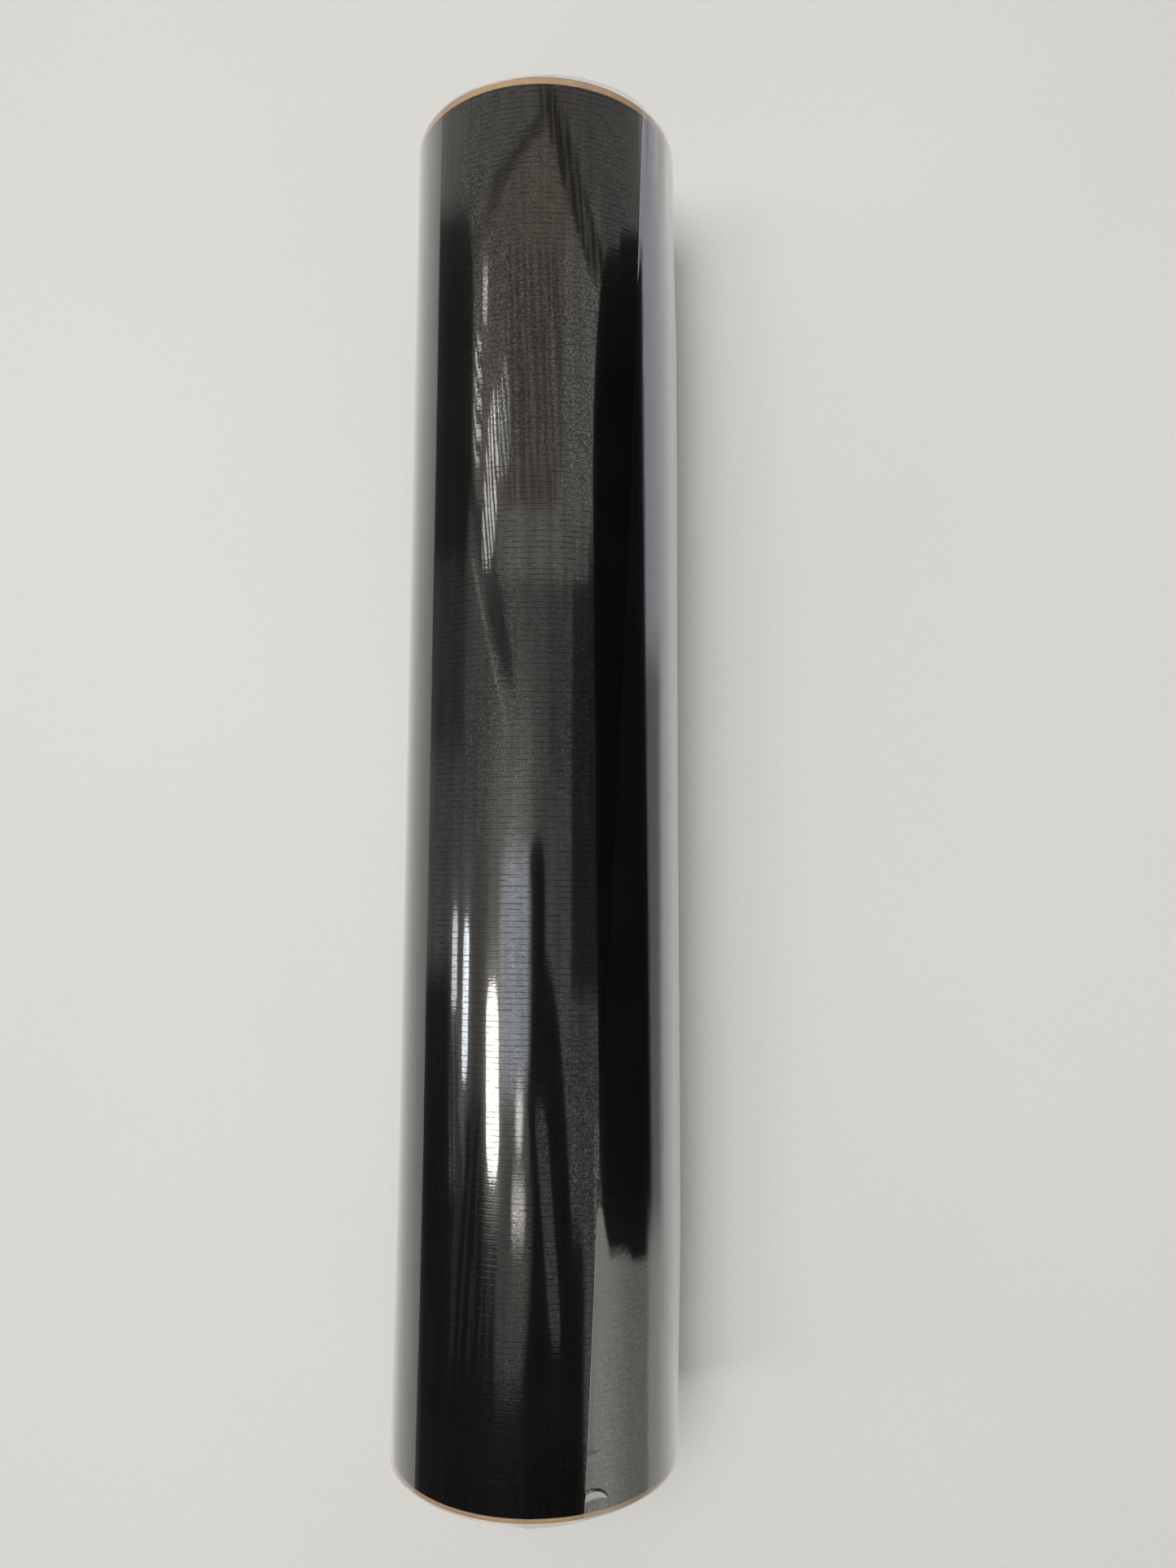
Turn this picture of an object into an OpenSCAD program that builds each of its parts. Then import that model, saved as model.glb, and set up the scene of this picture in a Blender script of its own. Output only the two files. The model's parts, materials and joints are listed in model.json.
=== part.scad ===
// Roll of glossy self-adhesive sign vinyl on a cardboard core, with a kraft board disc at each end
// and a clear wrap film round the whole roll, tucked into the core at both ends.
// Millimetres, +Z up. The roll lies along Y with the origin at the middle of the core's bore.
// Angles round the roll are measured from +Z towards +X.

/* [Web] */
// Width of the vinyl web (24 in)
web_w = 609.6; // [300:0.1:1370]
// Thickness of the face film with its adhesive coat
face_t = 0.105; // [0.08:0.005:0.2]
// Thickness of the paper release liner
liner_t = 0.15; // [0.1:0.005:0.25]
// Turns of web on the core
turns = 82; // [10:1:200]
// Outermost turns that are drawn one by one
outer_turns = 2; // [1:1:3]
// Where the web's tail edge lies, round the roll
tail_angle = 150; // [120:3:165]

/* [Core] */
// Bore of the core (3 in)
bore_d = 76.2; // [50:0.1:90]
// Wall of the core
core_wall = 5; // [3:0.5:8]
// How far the core stands out of the web at the far end
far_proud = 3.6; // [1:0.1:8]
// How far the core stands out of the web at the near end
near_proud = 1.9; // [1:0.1:8]

/* [Start tape] */
// Width of the tape that holds the web's first edge to the core, made up of whole flats
tape_w = 24; // [12:1:50]
// Thickness of that tape
tape_t = 0.1; // [0.05:0.01:0.2]
// How far the tape's ends stay in from the web's edges
tape_inset = 8; // [0:1:30]

/* [End discs] */
// Clearance between a disc's hole and the core
disc_clearance = 0.4; // [0.1:0.1:2]
// How far a disc's rim stays inside the web's outermost turn
disc_inset = 0.05; // [0.05:0.05:1]

/* [Wrap film] */
// Thickness of the wrap film
film_t = 0.05; // [0.03:0.01:0.15]
// Thickness of the gathered film over the end discs, where its pleats lie two or three deep
gather_t = 0.15; // [0.1:0.05:0.5]
// Thickness of the gathered film inside the core
tuck_t = 0.08; // [0.05:0.01:0.1]
// Gap between the tucked film and the core's wall
tuck_gap = 0.08; // [0.05:0.01:0.1]
// How deep the film is tucked into the core
tuck_len = 45; // [20:5:100]
// Where the film's free edge lies at the middle of the roll
seam_angle = 34.5; // [20:0.5:70]
// How far the free edge runs askew along the roll, in degrees round the roll
seam_skew = 27; // [0:1:30]
// How far the film's outer layer overlaps the inner one
overlap_angle = 61.5; // [45:1.5:90]

/* [Hidden] */
// Angle of one flat along every wound layer
facet = 3;
// How far a cutting solid runs past what it cuts
past = 1;

ply_t = face_t + liner_t;
bore_r = bore_d / 2;
core_r = bore_r + core_wall;
pack_r = core_r + (turns - outer_turns) * ply_t;
web_r = core_r + turns * ply_t;
far_web_y = web_w / 2;
near_web_y = -web_w / 2;
far_core_y = far_web_y + far_proud;
near_core_y = near_web_y - near_proud;
disc_r = (web_r - ply_t) * cos(facet / 2) - disc_inset;
// Angle of the film's inner edge, rounded to a whole flat of the wound layers
overlap_end = ceil((seam_angle + overlap_angle) / facet) * facet;

// A point of the cross-section, x to the right and z up
function polar(r, a) = [r * sin(a), r * cos(a)];

// Radius of the web's underside, t degrees along the outer turns
function under_r(t) = pack_r - ply_t + ply_t * t / 360;

// Radius of the outermost web surface, t degrees past the tail edge
function skin_r(t) = web_r - ply_t + ply_t * t / 360;

// Extrudes a cross-section along Y
module along_y(y0, y1) {
    translate([0, y1, 0])
        rotate([90, 0, 0])
            linear_extrude(y1 - y0)
                children();
}

// A straight tube along Y with true round walls
module tube_y(y0, y1, inner_r, outer_r) {
    along_y(y0, y1)
        difference() {
            circle(r = outer_r, $fn = 96);
            circle(r = inner_r, $fn = 96);
        }
}

// Cross-section of one layer of the outer turns, between two heights above the web's underside
module outer_layer(low, high) {
    last = 360 * outer_turns;
    inner = [for (t = [0:facet:last]) polar(under_r(t) + low, tail_angle + t)];
    outer = [for (t = [last:-facet:0]) polar(under_r(t) + high, tail_angle + t)];
    polygon(concat(inner, outer));
}

// Cross-section of everything inside the wrap film, grown by some layers of film.
// Past the tail edge the film slopes down to the turn below over one flat.
module skin_outline(grow) {
    polygon([for (t = [facet:facet:360]) polar(skin_r(t) + grow, tail_angle + t)]);
}

// Cross-section of the start tape, from an inner radius to the tape's outer face
module tape_section(inner_r) {
    half = round(tape_w / 2 / core_r * 180 / PI / facet) * facet;
    outer = [for (a = [-half:facet:half]) polar(core_r + tape_t, a)];
    inner = [for (a = [half:-facet:-half]) polar(inner_r, a)];
    polygon(concat(outer, inner));
}

// Round cross-section with the same flats as the wound layers
module flat_sided_round(r) {
    polygon([for (a = [0:facet:359]) polar(r, a)]);
}

// Spiral-wound cardboard tube
module core() {
    color("#a98a62")
        tube_y(near_core_y, far_core_y, bore_r, core_r);
}

// Double-sided tape between the core and the web's first edge
module start_tape() {
    color("#d8cf9e")
        along_y(near_web_y + tape_inset, far_web_y - tape_inset)
            tape_section(core_r / cos(facet / 2));
}

// All turns but the outermost ones, as one solid pack with the step of its last turn
module wound_turns() {
    color("#1b1b1d")
        difference() {
            along_y(near_web_y, far_web_y)
                difference() {
                    polygon([for (t = [0:facet:360]) polar(under_r(t), tail_angle + t)]);
                    circle(r = core_r, $fn = 96);
                }
            along_y(near_web_y + tape_inset, far_web_y - tape_inset)
                tape_section(core_r - past);
        }
}

// Release liner of the outermost turns
module outer_liner() {
    color("#b99b74")
        along_y(near_web_y, far_web_y)
            outer_layer(0, liner_t);
}

// Glossy face film of the outermost turns, with its adhesive coat
module outer_face_film() {
    color("#0c0c0e")
        along_y(near_web_y, far_web_y)
            outer_layer(liner_t, ply_t);
}

// Kraft board disc that guards the web's edges, round the core's end
module end_disc(y0, y1) {
    color("#b08a5c")
        tube_y(y0, y1, core_r + disc_clearance, disc_r);
}

module end_disc_far() {
    end_disc(far_web_y, far_core_y);
}

module end_disc_near() {
    end_disc(near_core_y, near_web_y);
}

// The film's outer layer, from its askew free edge to where it drops onto the web
module film_overlap(y0, y1) {
    first = floor((seam_angle - seam_skew / 2) / facet - 1) * facet;
    reach = 2 * web_r;
    difference() {
        along_y(y0, y1)
            polygon(concat(
                [for (a = [first:facet:overlap_end])
                    polar(skin_r(a + 360 - tail_angle) + 2 * film_t, a)],
                [for (a = [overlap_end + facet:-facet:first])
                    polar(skin_r(a + 360 - tail_angle) + film_t, a)]));
        rotate([0, seam_angle, 0])
            rotate([0, 0, -atan(web_r * seam_skew * PI / 180 / web_w)])
                translate([-reach, -web_w, 0])
                    cube([reach, 2 * web_w, reach]);
    }
}

// The film gathered over one end and tucked along the core's wall
module film_end(face_y, outward) {
    plate = [face_y, face_y + outward * gather_t];
    tuck = [face_y - outward * tuck_len, face_y + outward * gather_t];
    tuck_r = bore_r - tuck_gap;
    along_y(min(plate), max(plate))
        difference() {
            skin_outline(film_t);
            flat_sided_round(tuck_r - tuck_t);
        }
    along_y(min(tuck), max(tuck))
        difference() {
            flat_sided_round(tuck_r);
            flat_sided_round(tuck_r - tuck_t);
        }
}

// Clear film round the roll, with a lengthwise overlap and gathered, tucked ends
module wrap_film() {
    y0 = near_core_y - gather_t;
    y1 = far_core_y + gather_t;
    color([0.9, 0.92, 0.94, 0.25]) {
        along_y(y0, y1)
            difference() {
                skin_outline(film_t);
                skin_outline(0);
            }
        film_overlap(y0, y1);
        film_end(far_core_y, 1);
        film_end(near_core_y, -1);
    }
}

core();
start_tape();
wound_turns();
outer_liner();
outer_face_film();
end_disc_far();
end_disc_near();
wrap_film();
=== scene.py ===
"""Roll of glossy black sign vinyl in clear wrap film, lying on a pale floor."""
import json
import math

import bpy
import numpy as np
from mathutils import Matrix, Vector


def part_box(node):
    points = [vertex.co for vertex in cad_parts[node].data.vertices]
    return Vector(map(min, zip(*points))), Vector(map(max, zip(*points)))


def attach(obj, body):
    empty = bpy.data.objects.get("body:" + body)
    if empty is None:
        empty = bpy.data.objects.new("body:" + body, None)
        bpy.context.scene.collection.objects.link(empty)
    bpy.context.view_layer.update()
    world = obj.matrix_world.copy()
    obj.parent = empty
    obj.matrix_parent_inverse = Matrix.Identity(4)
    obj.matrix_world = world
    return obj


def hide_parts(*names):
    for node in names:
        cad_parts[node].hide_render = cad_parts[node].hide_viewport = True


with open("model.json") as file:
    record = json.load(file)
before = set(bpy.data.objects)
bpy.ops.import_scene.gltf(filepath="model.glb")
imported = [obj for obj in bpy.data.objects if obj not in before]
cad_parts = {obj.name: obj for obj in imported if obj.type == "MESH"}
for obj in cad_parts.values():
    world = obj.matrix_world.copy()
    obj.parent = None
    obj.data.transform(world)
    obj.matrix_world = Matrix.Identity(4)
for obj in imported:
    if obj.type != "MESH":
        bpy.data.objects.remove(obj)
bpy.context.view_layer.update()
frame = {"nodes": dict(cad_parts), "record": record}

MM = 0.001

# ---------------------------------------------------------------- what the frame says
core_low, core_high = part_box("core")
far_low, far_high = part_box("end_disc_far")
near_low, near_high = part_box("end_disc_near")
face_low, face_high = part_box("outer_face_film")
wrap_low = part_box("wrap_film")[0]
WEB_NEAR_Y, WEB_FAR_Y = face_low.y, face_high.y
WEB_W = WEB_FAR_Y - WEB_NEAR_Y
CORE_NEAR_Y, CORE_FAR_Y = core_low.y, core_high.y
CORE_R = (core_high.x - core_low.x) / 2
DISC_R = (far_high.x - far_low.x) / 2
mounts = {m["name"]: m for m in frame["record"]["mounts"]}
BORE_R = mounts["core_bore"]["dims"]["r_mm"] * MM
FLOOR_Z = wrap_low.z - 0.02 * MM

# ---------------------------------------------------------------- the wound web
FACE_T = 0.105 * MM
PLY_T = 0.255 * MM
TURNS_DRAWN = 2
TAIL_ANGLE = 150
TAIL_STEP_ANGLE = 1.6
WEB_R = 64.01 * MM
WEB_SAG = 0.02 * MM
WEB_SAG_LEN = 90 * MM
WEB_ROWS = 62
INNER_STEP, OUTER_STEP = 3, 1

# ---------------------------------------------------------------- camera
CAM_PLACE = Vector((31.9, -60.5, 526.4)) * MM
CAM_PITCH, CAM_YAW, CAM_ROLL = (math.radians(a) for a in (-5.873, -1.032, -0.103))
CAM_LENS_MM = 25.33
CAM_SENSOR_MM = 36.0
CAM_NEAREST = 10 * MM


def make_camera():
    """A hand-held camera above the roll, looking down and a little towards the far end."""
    data = bpy.data.cameras.new("camera")
    data.lens = CAM_LENS_MM
    data.sensor_width = CAM_SENSOR_MM
    data.clip_start = CAM_NEAREST
    cam = bpy.data.objects.new("camera", data)
    bpy.context.scene.collection.objects.link(cam)
    turn = (Matrix.Rotation(CAM_ROLL, 3, "Z") @ Matrix.Rotation(CAM_YAW, 3, "Y")
            @ Matrix.Rotation(CAM_PITCH, 3, "X"))
    cam.matrix_world = Matrix.Translation(CAM_PLACE) @ turn.transposed().to_4x4()
    bpy.context.scene.camera = cam


make_camera()


# ---------------------------------------------------------------- shapes from grids of points
def smooth(low, high, value):
    """0 below low, 1 above high, and a smooth step between. low may be above high."""
    t = np.clip((value - low) / (high - low), 0, 1)
    return t * t * (3 - 2 * t)


def hump(centre, width, value):
    """A smooth hump of height 1."""
    return np.exp(-((value - centre) / width) ** 2)


def signed(angle):
    """The same angle in degrees, from -180 to 180."""
    return np.mod(angle + 180, 360) - 180


def waves(seed, count, lowest, highest):
    """A smooth random function of two angles or lengths, from -1 to 1, made of sine waves."""
    rng = np.random.default_rng(seed)
    fu, fv = rng.uniform(lowest, highest, (2, count))
    fu *= rng.choice([-1, 1], count)
    phase = rng.uniform(0, 2 * np.pi, count)
    size = 1.4 / np.sqrt(count)

    def value(u, v):
        total = 0
        for a, b, c in zip(fu, fv, phase):
            total = total + np.sin(a * u + b * v + c)
        return np.tanh(total * size)
    return value


def at(r, degrees, y):
    """Points at radius r, an angle from +Z towards +X, and y along the roll."""
    a = np.radians(degrees)
    r, a, y = np.broadcast_arrays(r, a, y)
    return np.stack([r * np.sin(a), y, r * np.cos(a)], -1)


def grid_faces(rows, cols, start=0, close=False, flip=False):
    """Quads of a grid of points numbered row by row. close joins the last column to the first."""
    i, j = np.meshgrid(np.arange(rows - 1), np.arange(cols if close else cols - 1), indexing="ij")
    k = (j + 1) % cols
    quads = np.stack([i * cols + j, i * cols + k, (i + 1) * cols + k, (i + 1) * cols + j], -1)
    quads = quads.reshape(-1, 4) + start
    return quads[:, ::-1] if flip else quads


def piece(name, points, quads, **layers):
    """A mesh object of these points and quads, smooth shaded, with a float layer per keyword."""
    mesh = bpy.data.meshes.new(name)
    points = np.asarray(points, np.float32).reshape(-1, 3)
    quads = np.asarray(quads, np.int32)
    mesh.vertices.add(len(points))
    mesh.vertices.foreach_set("co", points.ravel())
    mesh.loops.add(quads.size)
    mesh.loops.foreach_set("vertex_index", quads.ravel())
    mesh.polygons.add(len(quads))
    mesh.polygons.foreach_set("loop_start", np.arange(0, quads.size, 4, dtype=np.int32))
    mesh.update(calc_edges=True)
    mesh.polygons.foreach_set("use_smooth", np.ones(len(quads), bool))
    for layer, values in layers.items():
        data = mesh.attributes.new(layer, "FLOAT", "POINT").data
        data.foreach_set("value", np.asarray(values, np.float32).ravel())
    obj = bpy.data.objects.new(name, mesh)
    bpy.context.scene.collection.objects.link(obj)
    return obj


def ring(name, points, flip=False):
    """A closed surface from rows of points that go once round the roll and back to the first row."""
    rows, cols = points.shape[:2]
    quads = grid_faces(rows + 1, cols, close=True, flip=flip)
    return piece(name, points, np.where(quads >= rows * cols, quads - rows * cols, quads))


def shell(name, outer, inner):
    """A closed thin solid between two grids of points with the same rows and columns."""
    rows, cols = outer.shape[:2]
    count = rows * cols
    quads = [grid_faces(rows, cols), grid_faces(rows, cols, count, flip=True)]
    rim = np.concatenate([np.arange(cols), np.arange(1, rows) * cols + cols - 1,
                          (rows - 1) * cols + np.arange(cols - 2, -1, -1),
                          np.arange(rows - 2, 0, -1) * cols])
    after = np.roll(rim, -1)
    quads.append(np.stack([after, rim, rim + count, after + count], -1))
    return piece(name, np.concatenate([outer.reshape(-1, 3), inner.reshape(-1, 3)]),
                 np.concatenate(quads))


def sharp_edges(obj, degrees):
    """Keeps creases above this angle crisp on a smooth-shaded piece."""
    obj.data.set_sharp_from_angle(angle=math.radians(degrees))


def finish_piece(obj, slot, *nodes):
    """The piece rides on the roll and stands for these CAD nodes, which it hides. slot is not used."""
    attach(obj, "root")
    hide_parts(*nodes)
    return obj


# ---------------------------------------------------------------- the roll's pieces
def skin_radius(angle):
    """Radius of the outermost web surface at an angle in degrees, with its step at the tail edge."""
    past_tail = np.mod(angle - TAIL_ANGLE, 360)
    return WEB_R - PLY_T * smooth(0, TAIL_STEP_ANGLE, past_tail) * (1 - past_tail / 360)


def make_face_film():
    """The outermost turns of the glossy face film, wound as a spiral."""
    last_turn = 360 * (TURNS_DRAWN - 1)
    t = np.concatenate([np.arange(0, last_turn, INNER_STEP),
                        np.arange(last_turn, last_turn + 360.5, OUTER_STEP)])[None, :]
    y = np.linspace(WEB_NEAR_Y, WEB_FAR_Y, WEB_ROWS)[:, None]
    ripple = waves(3, 9, 1.0, 6.0)
    sag = WEB_SAG * ripple(np.radians(t), y / WEB_SAG_LEN) * (t >= last_turn)
    top = WEB_R - PLY_T * (TURNS_DRAWN - t / 360) + sag
    obj = shell("vinyl_face", at(top, TAIL_ANGLE + t, y), at(top - FACE_T, TAIL_ANGLE + t, y))
    sharp_edges(obj, 50)
    return finish_piece(obj, "black_vinyl", "outer_face_film")


HOLE_GAP = 0.4 * MM
DISC_EDGE_R = 0.22 * MM
DISC_PLIES = 4
DISC_PLY_GROOVE = 0.03 * MM
RIM_WEAR, RIM_SWELL, RIM_FRAY = 0.07 * MM, 0.05 * MM, 0.02 * MM
DISC_DISH = 0.12 * MM


def make_disc(name, node, low_y, high_y, seed):
    """A kraft board disc with pressed, slightly uneven rim edges and a punched hole."""
    hole_r = CORE_R + HOLE_GAP
    thick = high_y - low_y
    edge = DISC_EDGE_R
    flat_r = DISC_R - edge
    bend = np.radians(np.arange(15, 90, 15))
    profile = [(hole_r + (flat_r - hole_r) * u, 0.0, u ** 2) for u in np.linspace(0, 1, 9)]
    profile += [(flat_r + edge * np.sin(b), edge * (1 - np.cos(b)), 1.0) for b in bend]
    for u in np.linspace(0, 1, 11):
        layer = DISC_PLY_GROOVE * math.cos(u * 2 * math.pi * DISC_PLIES)
        profile.append((DISC_R + layer, edge + (thick - 2 * edge) * u, 1.0))
    profile += [(flat_r + edge * np.sin(b), thick - edge * (1 - np.cos(b)), 1.0) for b in bend[::-1]]
    profile += [(hole_r + (flat_r - hole_r) * u, thick, u ** 2) for u in np.linspace(1, 0, 9)]
    profile += [(hole_r, thick * u, 0.0) for u in (0.75, 0.5, 0.25)]
    r, h, rim = (np.array(c)[:, None] for c in zip(*profile))
    angle = np.arange(0, 360, 1.0)[None, :]
    wobble, fray = waves(seed, 8, 1.0, 9.0), waves(seed + 1, 14, 12.0, 60.0)
    swell = rim * (RIM_SWELL * wobble(np.radians(angle), 0 * angle) - RIM_WEAR)
    rough = rim * RIM_FRAY * fray(np.radians(angle), h / thick * 3)
    dish = DISC_DISH * wobble(np.radians(angle) * 2, h * 0) * (h > thick / 2) * rim * (1 - rim) * 4
    obj = ring(name, at(np.minimum(r + swell + rough, DISC_R), angle, low_y + h - dish))
    return finish_piece(obj, "kraft_board", node)


HELIX_PITCH = 118 * MM
HELIX_STEP = 0.16 * MM
RIM_DEPTH = 0.8 * MM
CORE_ROWS = 280


def make_core():
    """The spiral-wound tube: its inner wall shows the edge of the last ply as a helix."""
    angle = np.arange(0, 360, 2.0)[None, :]
    ends = (CORE_NEAR_Y + RIM_DEPTH, CORE_FAR_Y - RIM_DEPTH)
    wall = np.linspace(*ends, CORE_ROWS)[:, None]
    along = np.mod(wall / HELIX_PITCH - angle / 360, 1)
    inside = at(BORE_R + HELIX_STEP * (smooth(0, 0.03, along) - along), angle, wall)
    rim = [(BORE_R + 0.15 * MM, 0.25), (BORE_R + 0.5 * MM, 0.05), ((BORE_R + CORE_R) / 2, 0.0),
           (CORE_R - 0.5 * MM, 0.05), (CORE_R - 0.1 * MM, 0.3)]
    far_rim = [at(r, angle, CORE_FAR_Y - d * MM) for r, d in rim]
    near_rim = [at(r, angle, CORE_NEAR_Y + d * MM) for r, d in rim]
    outside = [at(CORE_R, angle, y) for y in ends[::-1]]
    obj = ring("core_tube", np.concatenate([inside, *far_rim, *outside, *near_rim[::-1]]), flip=True)
    sharp_edges(obj, 35)
    return finish_piece(obj, "core_board", "core")


# ---------------------------------------------------------------- the wrap film
SEAM_ANGLE = 34.5
SEAM_SKEW = 27.0
OVERLAP = 61.5
SEAM_BOW = 3.2
FILM_GAP = 0.05 * MM
LAYER_GAP = 0.12 * MM
DISC_GAP = 0.12 * MM
TUCK_LEN = 44 * MM
TUCK_UNEVEN = 5 * MM


def seam_angle(y):
    """Where the free edge lies at y, in degrees: askew, and bowed a little."""
    u = y / WEB_W
    return SEAM_ANGLE + SEAM_SKEW * u + SEAM_BOW * np.sin(2.2 * np.pi * u + 0.5) * (0.25 - u * u)


def polygon_wave(seed, low_gap, high_gap, height):
    """A piecewise straight function of an angle in degrees that repeats every turn. height gives
    the lowest and the highest value it may take at each of its random corners."""
    rng = np.random.default_rng(seed)
    knots = [0.0]
    while knots[-1] < 360 - high_gap:
        knots.append(knots[-1] + rng.uniform(low_gap, high_gap))
    low, high = height(signed(np.array(knots)))
    values = low + (high - low) * rng.uniform(0, 1, len(knots))

    def value(angle):
        return np.interp(np.mod(angle, 360), knots + [360.0], list(values) + [values[0]])
    return value


def pleats(seed, count):
    """Height from 0 to 1 of radial folds round a gathered end, sharp crested and uneven."""
    rng = np.random.default_rng(seed)
    edges = np.cumsum(rng.uniform(0.45, 1.5, count))
    edges = np.concatenate([[0], edges / edges[-1] * 360])
    tall = rng.uniform(0.35, 1.0, count)
    lean = rng.uniform(0.2, 0.8, count)

    def value(angle):
        a = np.mod(angle, 360)
        i = np.clip(np.searchsorted(edges, a, side="right") - 1, 0, count - 1)
        u = (a - edges[i]) / (edges[i + 1] - edges[i])
        up = np.where(u < lean[i], u / lean[i], (1 - u) / (1 - lean[i]))
        return tall[i] * up ** 1.3
    return value


BIG_PLEATS, SMALL_PLEATS = 44, 96
PLEAT_BIG, PLEAT_SMALL = 2.8 * MM, 0.6 * MM
LIP_BIG, LIP_SMALL = 1.5 * MM, 0.3 * MM
TUCK_BIG, TUCK_SMALL = 1.9 * MM, 0.4 * MM
TUCK_GAP = 0.25 * MM
SHEET_FACES = 2.0
PLEAT_FACES, SHOULDER_FACES, TUCK_FACES = 5, 3, 4


def end_rows(angle, face_y, outward, seed, stick_out):
    """Rows of the film from the shoulder over the disc and into the bore: points, and how many
    shiny faces of film lie there."""
    folds, fine = pleats(seed, BIG_PLEATS), pleats(seed + 1, SMALL_PLEATS)
    length = polygon_wave(seed + 2, 8, 25, lambda t: (0 * t - TUCK_UNEVEN, 0 * t + TUCK_UNEVEN))
    shoulder = skin_radius(angle) + FILM_GAP
    bulge = stick_out(angle)
    doubled = SHEET_FACES * (angle < SEAM_ANGLE + OVERLAP)
    rows, faces = [], []
    for q in np.concatenate([[0.005, 0.015, 0.03, 0.05, 0.08, 0.12], np.linspace(0.17, 1, 18)]):
        r = shoulder + (BORE_R - 0.4 * MM - shoulder) * q
        lift = bulge * (smooth(-0.015, 0.02, q) - 0.8 * smooth(0.03, 0.5, q))
        big, small = folds(angle + 6 * q), fine(angle - 3 * q)
        fold = PLEAT_BIG * big * smooth(0.02, 0.8, q) + PLEAT_SMALL * small * smooth(0.05, 0.9, q)
        flat = 1 - 0.45 * smooth(0.9, 1, q)
        rows.append(at(r, angle, face_y + outward * (DISC_GAP + lift + fold * flat)))
        gathered = (doubled + PLEAT_FACES * big) * smooth(0.05, 0.8, q)
        faces.append(SHEET_FACES + gathered + SHOULDER_FACES * hump(0.02, 0.012, q))
    big, small = folds(angle + 6), fine(angle - 3)
    for q in np.linspace(0.03, 1, 17):
        turn = smooth(0, 0.09, q)
        inner = TUCK_BIG * folds(angle + 6 + 4 * q) + TUCK_SMALL * small
        r = BORE_R - TUCK_GAP - inner * (0.35 + 0.65 * turn) * (1 - 0.6 * smooth(0.1, 1, q))
        lip = (LIP_BIG * big + LIP_SMALL * small + DISC_GAP) * (1 - turn)
        depth = (TUCK_LEN + length(angle)) * q
        rows.append(at(r, angle, face_y + outward * (lip - depth * turn)))
        faces.append(SHEET_FACES + doubled + TUCK_FACES * big)
    return np.concatenate(rows), np.concatenate(faces)


MOUND_R, MOUND_U, MOUND_V = 6.4, 2.7, 5.8
HOLLOW_R, HOLLOW_U, HOLLOW_V = 10.5, 4.0, -1.5


def blister(u, v):
    """How far a fold in the film is raised, and the crescent that its flank makes, from 0 to 1.
    u is the distance from the free edge and v the distance along the roll, in millimetres: the
    flank is the part of a round mound that lies outside a bigger round hollow."""
    inside = MOUND_R - np.hypot(u - MOUND_U, v - MOUND_V)
    outside = np.hypot(u - HOLLOW_U, v - HOLLOW_V) - HOLLOW_R
    flank = np.maximum(inside, 0) / (np.maximum(inside, 0) + np.maximum(outside, 0) + 0.01)
    raised = (1 - flank) * smooth(0, 0.35, inside)
    return raised, smooth(0.1, 0.5, inside) * smooth(0, 0.5, outside)


def stand_out(seed, loose_angle, width, low, high):
    """How far the film's shoulder stands out from an end, by the angle: its lowest and its highest
    value in millimetres, each with what it gains where the film is loosest."""
    def bounds(t):
        loose = hump(loose_angle, width, t)
        return (low[0] + low[1] * loose) * MM, (high[0] + high[1] * loose) * MM
    return polygon_wave(seed, 9, 17, bounds)


FINE_COLS, COLS = 34, 443
FINE_SHARE = 0.028
NEAR_ROW_STEPS = ((0, 3, 0.7), (3, 13, 0.4), (13, 30, 0.8))
FAR_ROW_STEPS = (30, -1, -2.0)
MIDDLE_ROWS = 76
SLACK_ANGLES = (100, 150)
DOUBLED_ANGLES = (54, 36)
LOOSE, EDGE_LIFT, CREASE = 0.16 * MM, 0.10 * MM, 0.16 * MM
LONG_RIPPLE, SHORT_RIPPLE, CLING_RIPPLE = 0.10 * MM, 0.02 * MM, 0.010 * MM
LONG_LEN, SHORT_LEN, CREASE_LEN = 110 * MM, 50 * MM, 300 * MM
LEFT_STAND_OFF, RIGHT_STAND_OFF = 1.3 * MM, 1.2 * MM
LEFT_ANGLE, RIGHT_ANGLE = -80, 88
END_MARGIN = 4 * MM
BLISTER_SCALE = 1.2
BLISTER_H, SECOND_H = 0.7 * MM, 0.12 * MM
BLISTER_BACK, SECOND_AHEAD = 5.8, 8.4
FLANK_FACES, SECOND_FACES, EDGE_FACES = 12.0, 0.8, 6.0
FAR_LOOSE_ANGLE, NEAR_LOOSE_ANGLE = 34, 5


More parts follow.
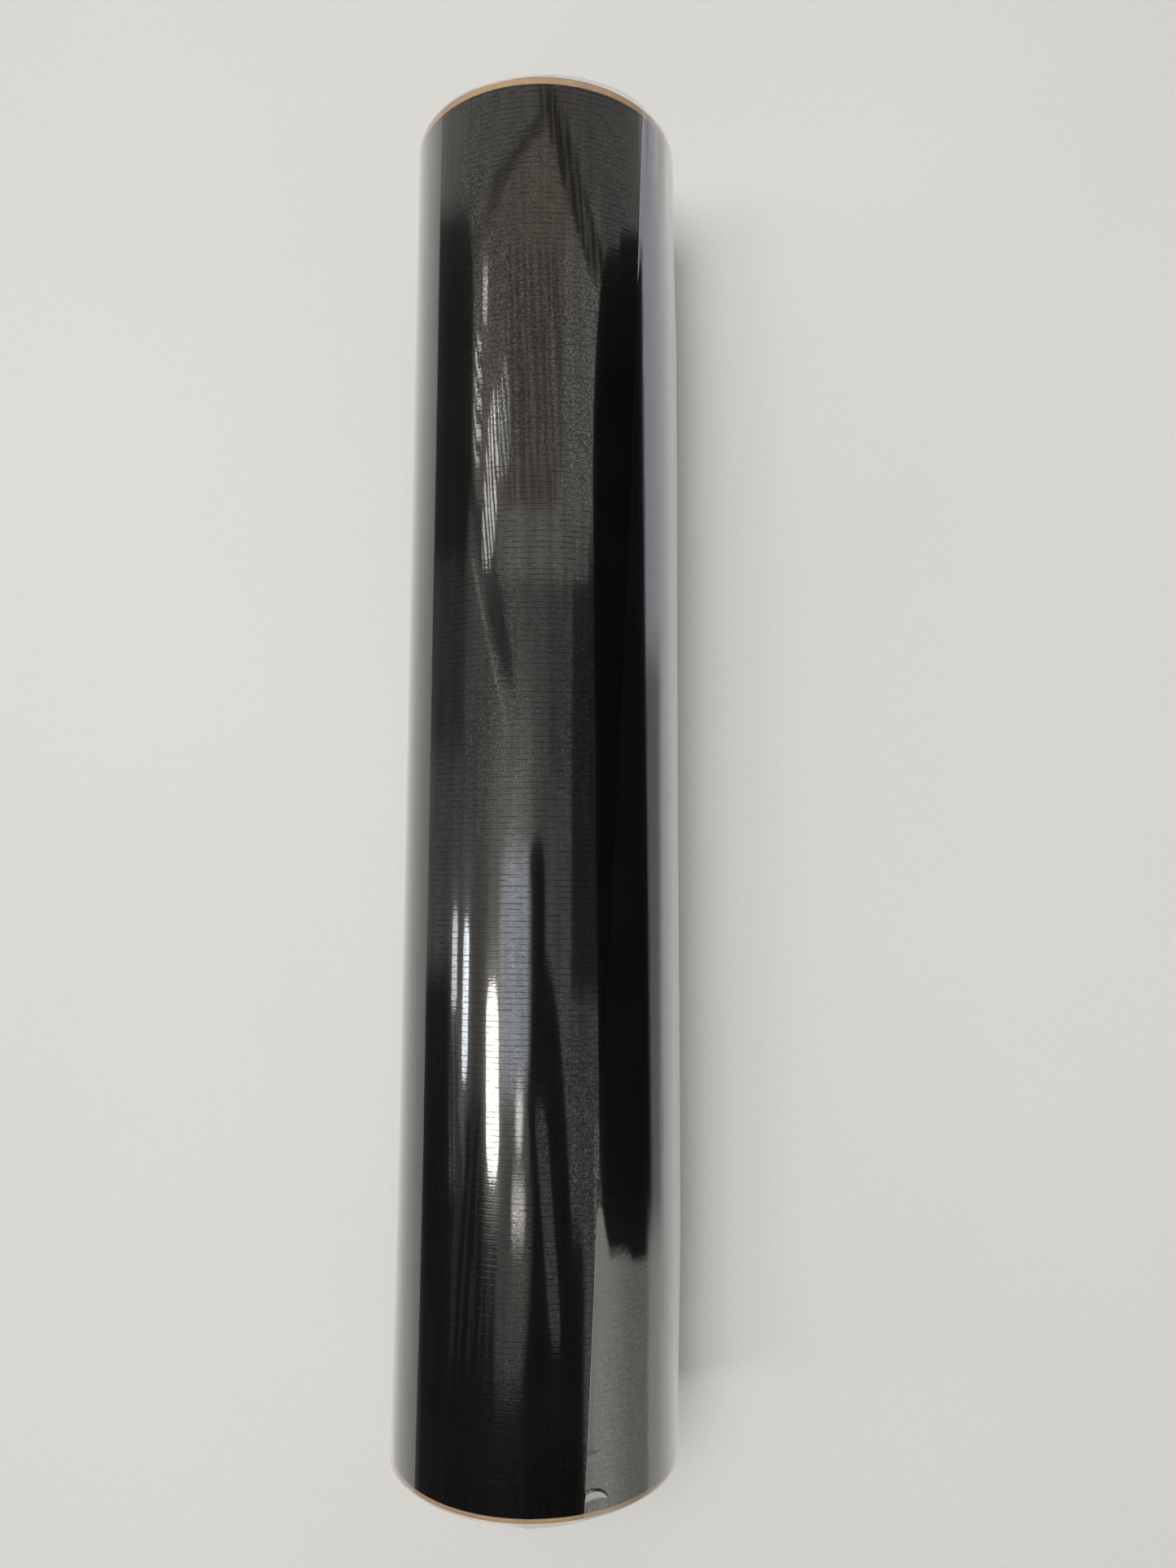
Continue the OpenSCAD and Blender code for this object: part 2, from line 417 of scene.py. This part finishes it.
def make_wrap():
    """The clear film: one sheet, 1.2 turns round the roll, gathered over both ends."""
    p = np.concatenate([np.linspace(0, FINE_SHARE, FINE_COLS)[:-1],
                        np.linspace(FINE_SHARE, 1, COLS - FINE_COLS + 1)])[None, :]
    near_rows = CORE_NEAR_Y + np.concatenate([np.arange(*steps) for steps in NEAR_ROW_STEPS]) * MM
    far_rows = CORE_FAR_Y - np.arange(*FAR_ROW_STEPS) * MM
    middle_rows = np.linspace(near_rows[-1], far_rows[0], MIDDLE_ROWS)[1:-1]
    y = np.concatenate([near_rows, middle_rows, far_rows])[:, None]

    def angles(y):
        first = seam_angle(y)
        return first + p * (SEAM_ANGLE + OVERLAP + 360 - first)
    angle = angles(y)
    own = signed(angle)
    from_edge = angle - seam_angle(y)
    step = 1 - smooth(SEAM_ANGLE + OVERLAP - 4, SEAM_ANGLE + OVERLAP + 4, angle)
    slack = 1 - smooth(*SLACK_ANGLES, angle)
    near_end = smooth(WEB_NEAR_Y + 150 * MM, WEB_NEAR_Y + END_MARGIN, y)
    far_end = smooth(WEB_FAR_Y - 110 * MM, WEB_FAR_Y - END_MARGIN, y)

    a = np.radians(angle)
    long_wave, short_wave = waves(11, 10, 0.6, 3.2), waves(12, 12, 4.0, 13.0)
    ripple = (LONG_RIPPLE * long_wave(a * 1.4, y / LONG_LEN)
              + SHORT_RIPPLE * short_wave(a * 2.0, y / SHORT_LEN))
    cling = CLING_RIPPLE * long_wave(a * 3, y / SHORT_LEN)
    creases = CREASE * far_end * short_wave(a * 3.0, y / CREASE_LEN)
    loose_r = slack * (LOOSE + ripple + creases + EDGE_LIFT * np.exp(-from_edge / 1.5))
    left_off = LEFT_STAND_OFF * near_end * hump(LEFT_ANGLE, 26, own) * (0.8 + 0.2 * np.sin(y / 0.03))
    right_off = RIGHT_STAND_OFF * hump(RIGHT_ANGLE, 24, angle) * smooth(0.29, 0.2, np.abs(y))
    across, along = np.radians(from_edge) * WEB_R / MM, (y - WEB_NEAR_Y) / MM
    raised, flank = blister(across / BLISTER_SCALE, (along + BLISTER_BACK) / BLISTER_SCALE)
    second, second_flank = blister(across / BLISTER_SCALE, (along - SECOND_AHEAD) / BLISTER_SCALE)
    r = skin_radius(angle) + FILM_GAP + LAYER_GAP * step + loose_r + cling * (1 - slack)
    r = r + left_off + right_off + BLISTER_H * raised + SECOND_H * second
    doubled = SHEET_FACES * slack * smooth(*DOUBLED_ANGLES, angle)
    raised_faces = FLANK_FACES * flank + SECOND_FACES * second_flank
    layers = SHEET_FACES + doubled + raised_faces + EDGE_FACES * smooth(0.35, 0.0, from_edge)

    far_stick = stand_out(21, FAR_LOOSE_ANGLE, 24, (0.1, 1.5), (1.1, 2.6))
    near_stick = stand_out(22, NEAR_LOOSE_ANGLE, 14, (0.1, 0.9), (0.7, 1.5))
    near, near_faces = end_rows(angles(y[0]), CORE_NEAR_Y, -1, 31, near_stick)
    far, far_faces = end_rows(angles(y[-1]), CORE_FAR_Y, 1, 41, far_stick)
    points = np.concatenate([near[::-1], at(r, angle, y), far])
    faces = np.concatenate([near_faces[::-1], layers, far_faces])
    obj = piece("wrap_sheet", points, grid_faces(*faces.shape, flip=True), interfaces=faces)
    finish_piece(obj, "clear_film", "wrap_film")
    return obj


# ---------------------------------------------------------------- materials
class Nodes:
    """The node tree of a material or a world, with short calls for what those below share."""

    def __init__(self, owner):
        owner.use_nodes = True
        self.owner, self.tree = owner, owner.node_tree
        self.tree.nodes.clear()

    def node(self, kind, inputs=None, **settings):
        n = self.tree.nodes.new(kind)
        for key, value in settings.items():
            setattr(n, key, value)
        for key, value in (inputs or {}).items():
            self.put(value, n.inputs[key])
        return n

    def put(self, value, socket):
        if isinstance(value, bpy.types.NodeSocket):
            self.tree.links.new(value, socket)
        else:
            socket.default_value = value

    def math(self, operation, a, b=0.0, c=0.0, clamp=False):
        n = self.node("ShaderNodeMath", operation=operation, use_clamp=clamp)
        for value, socket in zip((a, b, c), n.inputs):
            self.put(value, socket)
        return n.outputs[0]

    def add(self, a, b):
        return self.math("ADD", a, b)

    def times(self, a, b):
        return self.math("MULTIPLY", a, b)

    def fade(self, value, low, high, start, end):
        """start where the value is low or less, end where it is high or more, smooth between."""
        n = self.node("ShaderNodeMapRange", interpolation_type="SMOOTHSTEP")
        for given, socket in zip((value, low, high, start, end), n.inputs):
            self.put(given, socket)
        return n.outputs[0]

    def mix(self, share, a, b, blend="MIX"):
        return self.node("ShaderNodeMix", {0: share, 6: a, 7: b}, data_type="RGBA",
                         blend_type=blend).outputs[2]

    def place(self):
        return self.node("ShaderNodeTexCoord").outputs["Object"]

    def axes(self, vector):
        return self.node("ShaderNodeSeparateXYZ", {"Vector": vector}).outputs

    def scaled(self, vector, scale):
        return self.node("ShaderNodeMapping", {"Vector": vector, "Scale": scale}).outputs[0]

    def noise(self, vector, scale, detail=3.0, rough=0.5):
        inputs = {"Vector": vector, "Scale": scale, "Detail": detail, "Roughness": rough}
        return self.node("ShaderNodeTexNoise", inputs).outputs["Fac"]

    def ramp(self, value, low, dark, high, light):
        """A colour or a grey that goes from dark at low to light at high."""
        n = self.node("ShaderNodeValToRGB", {"Fac": value})
        for element, at_value, shade in zip(n.color_ramp.elements, (low, high), (dark, light)):
            element.position = at_value
            element.color = (*shade, 1) if isinstance(shade, tuple) else (shade, shade, shade, 1)
        return n.outputs["Color"]

    def bump(self, height, strength, distance):
        inputs = {"Height": height, "Strength": strength, "Distance": distance}
        return self.node("ShaderNodeBump", inputs).outputs["Normal"]

    def surface(self, shader):
        kind = "World" if isinstance(self.owner, bpy.types.World) else "Material"
        self.put(shader, self.node("ShaderNodeOutput" + kind).inputs["Surface"])
        return self.owner

    def principled(self, **inputs):
        """The finished material: keywords name the shader's inputs, with _ for a space."""
        named = {key.replace("_", " "): value for key, value in inputs.items()}
        return self.surface(self.node("ShaderNodeBsdfPrincipled", named).outputs[0])


def new_material(name):
    return Nodes(bpy.data.materials.new(name))


RIB_PITCH = 2.43 * MM


def rib_lines(n, place):
    """Fine rings pressed through the vinyl by its liner: 1 on a ring and 0 between, with a
    fainter ring half way, all a little wavy and broken."""
    slow = n.times(n.add(n.noise(place, 30.0, 2.0), -0.5), 0.5 * MM)
    quick = n.times(n.add(n.noise(n.scaled(place, (1, 0.4, 1)), 330.0, 1.0), -0.5), 0.45 * MM)
    along = n.add(n.axes(place)["Y"], n.add(slow, quick))
    turn = n.times(along, 2 * math.pi / RIB_PITCH)

    def line(turns, sharpness):
        wave = n.add(n.times(n.math("COSINE", turns), 0.5), 0.5)
        return n.math("POWER", wave, sharpness)
    both = n.math("MAXIMUM", line(turn, 3.0), n.times(line(n.times(turn, 2.0), 2.0), 0.6))
    breaks = n.fade(n.noise(n.scaled(place, (0.3, 1, 0.3)), 700.0, 2.0), 0.36, 0.6, 0.35, 1.0)
    return n.times(both, breaks)


def vinyl_material():
    n = new_material("black_vinyl")
    place = n.place()
    ribs, grain = rib_lines(n, place), n.noise(place, 1700.0, 2.0)
    colour = n.ramp(n.noise(place, 35.0, 4.0), 0.3, (0.0012, 0.0012, 0.0013), 0.7, (0.003, 0.003, 0.0032))
    rough = n.add(n.times(ribs, 0.08), n.add(n.times(grain, 0.06), 0.09))
    height = n.add(n.times(grain, 0.7), n.times(ribs, -0.3))
    return n.principled(Base_Color=colour, Roughness=rough, IOR=1.5, Normal=n.bump(height, 0.5, 0.05 * MM))


FILM_MIRROR = 0.053
CLING_FACES = 3.0


def film_material():
    """Clear film: lets light straight through, and mirrors by the number of its shiny faces.
    Where it clings, the rings of the vinyl and a fine mottle touch it and mirror less, and tiny
    bubbles between them sparkle. Seen edge on it is a little dark, as thick film is at a fold."""
    n = new_material("clear_film")
    place = n.place()
    ribs, grain = rib_lines(n, place), n.noise(place, 1300.0, 2.0)
    faces = n.node("ShaderNodeAttribute", attribute_name="interfaces").outputs["Fac"]
    cling = n.math("SUBTRACT", CLING_FACES, faces, clamp=True)
    tilt = n.node("ShaderNodeLayerWeight", {"Blend": 0.5}).outputs["Facing"]
    cling = n.times(cling, n.fade(tilt, 0.32, 0.46, 1.0, 0.0))
    patch = n.fade(n.noise(n.scaled(place, (1, 0.5, 1)), 16.0, 3.0), 0.42, 0.6, 0.25, 1.0)
    dull = n.fade(n.noise(place, 700.0, 2.0), 0.38, 0.58, 0.6, 0.0)
    mottle = n.times(dull, n.math("POWER", patch, 2.0))
    bubbles = n.times(n.fade(grain, 0.50, 0.68, 0.0, 3.2), patch)
    wet = n.math("MAXIMUM", n.times(ribs, 0.72), mottle)
    faces = n.times(faces, n.math("SUBTRACT", 1.0, n.times(cling, wet), clamp=True))
    faces = n.add(faces, n.times(cling, bubbles))
    soft = n.noise(place, 130.0, 3.0)
    height = n.add(soft, n.times(cling, n.add(n.times(ribs, -0.12), n.times(grain, 0.2))))
    normal = n.bump(height, 0.3, 0.04 * MM)
    facing = n.node("ShaderNodeLayerWeight", {"Blend": 0.5, "Normal": normal}).outputs["Facing"]
    mirror = n.add(n.times(n.math("POWER", facing, 5.0), 1 - FILM_MIRROR), FILM_MIRROR)
    passed = n.math("POWER", n.math("SUBTRACT", 1.0, mirror), faces)
    share = n.math("SUBTRACT", 1.0, passed, clamp=True)
    haze = n.ramp(n.noise(place, 18.0, 4.0), 0.3, 0.012, 0.75, 0.03)
    clear = n.node("ShaderNodeBsdfTransparent", {"Color": n.ramp(tilt, 0.8, 0.985, 1.0, 0.5)})
    gloss = n.node("ShaderNodeBsdfGlossy",
                   {"Color": (0.98, 0.985, 1, 1), "Roughness": haze, "Normal": normal})
    mix = n.node("ShaderNodeMixShader", {0: share, 1: clear.outputs[0], 2: gloss.outputs[0]})
    return n.surface(mix.outputs[0])


def board_material(name, dark, light, scale=1.0):
    """Brown board: felted fibres, mottling, a few dark specks, and painted shade that darkens it towards
    the outer face at each end.
    """
    n = new_material(name)
    place = n.place()
    mottle = n.noise(place, 90.0 * scale, 5.0, 0.6)
    fibre = n.noise(n.scaled(place, (1, 6, 1)), 500.0 * scale, 4.0, 0.65)
    colour = n.ramp(n.times(n.add(mottle, fibre), 0.5), 0.32, dark, 0.68, light)
    specks = n.ramp(n.noise(place, 1500.0 * scale, 1.0), 0.30, 0.55, 0.36, 1.0)
    colour = n.mix(1.0, colour, specks, "MULTIPLY")
    # Painted shade: the board turns darker over the last 0.9 mm towards the outer face at each end.
    end = n.math("ABSOLUTE", n.add(n.axes(place)["Y"], -(near_low.y + far_high.y) / 2))
    rim = (far_high.y - near_low.y) / 2
    painted_edge_shade = n.fade(end, rim - 0.9 * MM, rim - 0.2 * MM, 1.0, 0.72)
    painted_edge_shade_colour = n.node("ShaderNodeCombineColor", {0: painted_edge_shade, 1: painted_edge_shade, 2: painted_edge_shade}).outputs[0]
    colour = n.mix(1.0, colour, painted_edge_shade_colour, "MULTIPLY")
    return n.principled(Base_Color=colour, Roughness=0.85, Normal=n.bump(fibre, 0.5, 0.2 * MM))


def paper_material(name, dark, light):
    n = new_material(name)
    fibre = n.noise(n.scaled(n.place(), (1, 3, 1)), 700.0, 4.0, 0.6)
    colour = n.ramp(fibre, 0.3, dark, 0.7, light)
    return n.principled(Base_Color=colour, Roughness=0.6, Normal=n.bump(fibre, 0.3, 0.05 * MM))


def wound_material():
    """Slit edges of the wound web: thin dark and light rings round the core."""
    n = new_material("wound_edges")
    place = n.place()
    axes = n.axes(place)
    flat = n.node("ShaderNodeCombineXYZ", {"X": axes["X"], "Y": axes["Z"]}).outputs[0]
    radius = n.node("ShaderNodeVectorMath", {0: flat}, operation="LENGTH").outputs["Value"]
    rings = n.times(n.math("SINE", n.times(radius, 2 * math.pi / PLY_T)), 0.5)
    rings = n.add(rings, n.noise(place, 300.0))
    colour = n.ramp(rings, 0.3, (0.01, 0.01, 0.011), 0.8, (0.12, 0.10, 0.08))
    return n.principled(Base_Color=colour, Roughness=0.5, Normal=n.bump(rings, 0.3, 0.1 * MM))


def floor_material():
    n = new_material("floor_paper")
    place = n.place()
    fine = n.noise(place, 420.0, 3.0)
    mix = n.add(n.times(n.noise(place, 3.0, 4.0), 0.6), n.times(fine, 0.4))
    colour = n.ramp(mix, 0.3, (0.655, 0.652, 0.635), 0.7, (0.70, 0.697, 0.68))
    return n.principled(Base_Color=colour, Roughness=0.9, Normal=n.bump(fine, 0.1, 0.2 * MM))


def wear(obj, material):
    obj.data.materials.clear()
    obj.data.materials.append(material)


kraft = board_material("kraft_board", (0.36, 0.232, 0.13), (0.54, 0.375, 0.23))
wear(make_face_film(), vinyl_material())
wear(make_disc("kraft_disc_far", "end_disc_far", far_low.y, far_high.y, 5), kraft)
wear(make_disc("kraft_disc_near", "end_disc_near", near_low.y, near_high.y, 7), kraft)
wear(make_core(), board_material("core_board", (0.22, 0.15, 0.09), (0.36, 0.26, 0.165), 0.7))
wear(make_wrap(), film_material())
wear(frame["nodes"]["wound_turns"], wound_material())
wear(frame["nodes"]["outer_liner"],
     paper_material("liner_paper", (0.5, 0.4, 0.28), (0.62, 0.51, 0.37)))
wear(frame["nodes"]["start_tape"], paper_material("tape", (0.62, 0.58, 0.42), (0.72, 0.68, 0.52)))

# ---------------------------------------------------------------- floor and light
TABLE_X, TABLE_Y = (-0.52, 0.22), (-0.95, 0.95)
GROUND = (-6.0, 6.0)
BACKDROP = 0.62
ROOM = 0.34
DIFFUSE_SHARE = 0.65
DARK = 0.012
FLOORS_GAP = 0.1 * MM
KEY_PLACE, KEY_SIZE, KEY_POWER = (-0.23, 0.2, 2.1), 1.2, 37.0
KEY_COLOUR = (1.0, 0.99, 0.985)
WHITE, WARM, OLIVE = (1, 0.99, 0.97, 1), (1, 0.962, 0.88, 1), (1, 0.90, 0.73, 1)
BLUISH, LAVENDER = (0.90, 0.94, 1, 1), (0.96, 0.94, 1, 1)

# Soft panels, slatted blinds and dark flags round the roll, each painted over the ones before it.
# turn is the angle round the roll's axis, from up towards +X, in degrees. along is the share of the
# direction that runs along +Y, in percent. corner and fade are in the same units as both, and lean
# is how far a panel's sides slant. shade gives two turns and the level that it reaches at the second.
# slats gives the pitch, the slant and the level of the gaps, and SLAT_WANDER is how far the slats
# stray, in pitches. CLUTTER is how unevenly the room shines left and right of CLUTTER_TURN.
CLUTTER, CALM = 1.3, 0.1
CLUTTER_TURN = (40.0, 56.0)
CLUTTER_GRAIN = (0.13, 0.05)
SLAT_WANDER = 2.5
SLAT_EDGE = (-0.4, 0.8)
PANELS = [
    dict(turn=(-180, 180), along=(52, 130), fade=3, level=0.34),
    dict(turn=(-125, -66), along=(10, 31), fade=6, level=0.16),
    dict(turn=(-125, -66), along=(2, 10), fade=5, level=0.30),
    dict(turn=(-125, -63), along=(-60, -9), fade=6, level=0.04),
    dict(turn=(-62, 38), along=(-62, -30), fade=5, level=0.035),
    dict(turn=(-66, -36), along=(-34, -20), fade=6, level=0.12, slats=(8, -0.6, 0.03)),
    dict(turn=(-20, -20), along=(0, 0), fade=32, level=0.85),
    dict(turn=(12, 50), along=(14, 29), fade=7, level=0.25),
    dict(turn=(30, 50), along=(-7, 27), fade=4, level=0.08),
    dict(turn=(-2, 14), along=(-62, -7), fade=3, corner=6, level=0.03),
    dict(turn=(12, 33), along=(-62, -8), fade=3, corner=8, lean=-0.6, level=0.03),
    dict(turn=(-5, 6), along=(-20, 4), fade=2.5, corner=4, level=0.03),
    dict(turn=(35, 52), along=(-29, -12), fade=3, lean=-0.6, level=0.28),
    dict(turn=(-34, 40), along=(29, 35), fade=2, level=0.64, shade=(0, 36, 0.46)),
    dict(turn=(18, 50), along=(34, 54), fade=3, level=0.55),
    dict(turn=(-48, -38), along=(21, 37), fade=4, corner=4, lean=-2.05, level=0.12),
    dict(turn=(-41, -40), along=(15, 29), fade=2, lean=-2.3, level=0.8),
    dict(turn=(-60, 19), along=(35, 72), fade=1.5, corner=8, level=0.48, colour=OLIVE),
    dict(turn=(-46, -38), along=(53.5, 57.5), fade=3, lean=5.5, level=0.26, colour=OLIVE),
    dict(turn=(-22, -11), along=(57.5, 60), fade=2.5, lean=11, level=0.14, colour=OLIVE),
    dict(turn=(-200, -4), along=(49, 80), fade=1.5, lean=5.5, level=0.42),
    dict(turn=(-120, 88), along=(57.5, 80), fade=1.5, lean=11, level=0.42),
    dict(turn=(-125, -62), along=(31, 53), fade=3, corner=7, level=0.06),
    dict(turn=(20, 36), along=(52, 60.5), fade=2.5, lean=-4.5, level=0.28, colour=OLIVE,
         slats=(7, 1.5, 0.04)),
    dict(turn=(-30, 18), along=(35, 52), fade=1.5, corner=4, level=0.52, colour=OLIVE,
         slats=(6.5, 0.5, 0.3)),
    dict(turn=(-51, -48), along=(48.5, 50.5), fade=1.5, level=3.0),
    dict(turn=(-58, -52), along=(38, 46), fade=1.5, corner=2, level=3.6, slats=(6.5, 3.2, 0.15)),
    dict(turn=(-47, -36), along=(30, 42), fade=1.5, corner=4, level=4.4, lean=0.5,
         slats=(3.2, 0.9, 0.3)),
    dict(turn=(-34, -26), along=(37, 44), fade=1.5, corner=3, level=2.0, slats=(3.2, 0.9, 0.35)),
    dict(turn=(-26, -5), along=(-36, -26), fade=5.5, corner=4, level=0.34, lean=0.4),
    dict(turn=(7.5, 14.5), along=(-35, -19), fade=2, corner=2, level=0.30, lean=-0.8),
    dict(turn=(-26, -8), along=(-14, 1), fade=6, corner=3, level=1.8, colour=BLUISH),
    dict(turn=(-38.5, -29.5), along=(-23, -8.5), fade=1.5, corner=3, level=11, lean=-0.15),
    dict(turn=(-12, -12), along=(-19, -19), fade=4.5, level=6),
    dict(turn=(-15, -9), along=(-26.3, -26.3), fade=4, level=3.2),
    dict(turn=(-71, -59), along=(-22, -9), fade=4, level=0.42, slats=(6, 0.5, 0.16)),
    dict(turn=(-71.5, -68), along=(-9, -2), fade=1.5, corner=1, level=5, colour=BLUISH),
    dict(turn=(-60.5, -56.8), along=(-15, -3), fade=1.5, corner=1.5, level=9, colour=BLUISH),
    dict(turn=(97, 150), along=(-60, 75), fade=4, level=0.62),
    dict(turn=(99, 150), along=(24, 75), fade=8, level=0.70, colour=LAVENDER),
    dict(turn=(104, 150), along=(-26, 18), fade=8, level=0.30, colour=LAVENDER),
    dict(turn=(29.5, 102), along=(-130, -30.5), fade=1.2, level=0.59, lean=0.47, shade=(54, 84, 0.36)),
    dict(turn=(49, 90), along=(-31, -20), fade=1.2, level=0.59, shade=(54, 84, 0.36)),
    dict(turn=(47, 98), along=(0, 52), fade=1.2, corner=17, level=DARK, lean=-0.13),
    dict(turn=(51, 102), along=(-29.0, 20), fade=1.2, corner=10, level=DARK, lean=-0.13),
    dict(turn=(76, 100.8), along=(-29.4, 53), fade=1.2, corner=2, level=DARK, lean=-0.13),
    dict(turn=(105, 150), along=(-130, -31), fade=7, level=0.62),
    dict(turn=(-80, -25), along=(-97, -76), fade=4, corner=8, level=1.7),
    dict(turn=(-75, -20), along=(76, 97), fade=4, corner=8, level=1.7),
]


def panel_mask(n, phi, percent, panel):
    """1 inside a round-cornered rectangle of directions, fading to 0 over its edge."""
    corner, lean = panel.get("corner", 0), panel.get("lean", 0)
    middle = sum(panel["along"]) / 2
    if lean:
        phi = n.add(phi, n.times(n.add(percent, -middle), -lean))
    sides = []
    for value, (low, high) in ((phi, panel["turn"]), (percent, panel["along"])):
        out = n.add(n.math("ABSOLUTE", n.add(value, -(low + high) / 2)), corner - (high - low) / 2)
        sides.append(n.math("MAXIMUM", out, 0.0))
    both = n.node("ShaderNodeCombineXYZ", {0: sides[0], 1: sides[1]}).outputs[0]
    away = n.node("ShaderNodeVectorMath", {0: both}, operation="LENGTH").outputs["Value"]
    return n.fade(away, corner, corner + panel["fade"], 1.0, 0.0)


def panel_level(n, phi, percent, wander, panel):
    """How bright a panel is: one level, a slope, or dark gaps between slanting slats."""
    if "shade" in panel:
        first, last, end_level = panel["shade"]
        return n.fade(phi, first, last, panel["level"], end_level)
    if "slats" not in panel:
        return panel["level"]
    pitch, slant, gap = panel["slats"]
    across = n.add(n.add(phi, n.times(wander, SLAT_WANDER * pitch)), n.times(percent, slant))
    wave = n.math("SINE", n.times(across, 2 * math.pi / pitch))
    return n.fade(wave, *SLAT_EDGE, gap, panel["level"])


def make_world():
    """A dim grey room with soft panels, which the gloss shows. The camera sees only a plain
    backdrop, and matt surfaces get a share of the room's light."""
    world = bpy.data.worlds.new("room")
    bpy.context.scene.world = world
    n = Nodes(world)
    x, along, z = n.axes(n.node("ShaderNodeTexCoord").outputs["Generated"])
    phi = n.times(n.math("ARCTAN2", x, z), 180 / math.pi)
    percent = n.times(along, 100.0)
    grain_x, grain_y = (n.times(value, grain) for value, grain in zip((phi, percent), CLUTTER_GRAIN))
    spread = n.node("ShaderNodeCombineXYZ", {"X": grain_x, "Y": grain_y})
    wander = n.add(n.noise(spread.outputs[0], 1.0, 5.0, 0.62), -0.5)
    level, colour = ROOM, WARM
    for panel in PANELS:
        mask = panel_mask(n, phi, percent, panel)
        target = panel_level(n, phi, percent, wander, panel)
        level = n.add(level, n.times(mask, n.math("SUBTRACT", target, level)))
        if panel.get("colour", WARM) != WARM or not isinstance(colour, tuple):
            colour = n.mix(mask, colour, panel.get("colour", WARM))
    uneven = n.times(wander, n.fade(phi, *CLUTTER_TURN, CLUTTER, CALM))
    level = n.times(level, n.add(uneven, 1.0))
    path = n.node("ShaderNodeLightPath")
    seen = path.outputs["Is Camera Ray"]
    level = n.times(level, n.add(n.times(path.outputs["Is Diffuse Ray"], DIFFUSE_SHARE - 1.0), 1.0))
    strength = n.add(level, n.times(seen, n.math("SUBTRACT", BACKDROP, level)))
    light = n.node("ShaderNodeBackground", {"Color": n.mix(seen, colour, WHITE), "Strength": strength})
    n.surface(light.outputs[0])


def make_floor(name, xs, ys, z):
    """A flat stretch of the pale floor."""
    points = [(x, y, z) for y in ys for x in xs]
    obj = piece(name, points, grid_faces(2, 2))
    wear(obj, floor_material())
    return obj


def make_key(place, size, power):
    """One big soft light, which the gloss doesn't show."""
    data = bpy.data.lights.new("soft_key", "AREA")
    data.shape = "SQUARE"
    data.size = size
    data.energy = power
    data.color = KEY_COLOUR
    lamp = bpy.data.objects.new("soft_key", data)
    bpy.context.scene.collection.objects.link(lamp)
    lamp.location = place
    lamp.rotation_euler = (-Vector(place)).to_track_quat("-Z", "Y").to_euler()
    lamp.visible_glossy = False


make_floor("table", TABLE_X, TABLE_Y, FLOOR_Z)
make_floor("ground", GROUND, GROUND, FLOOR_Z - FLOORS_GAP).visible_glossy = False
make_world()
make_key(KEY_PLACE, KEY_SIZE, KEY_POWER)

bpy.context.scene.view_settings.view_transform = "Standard"
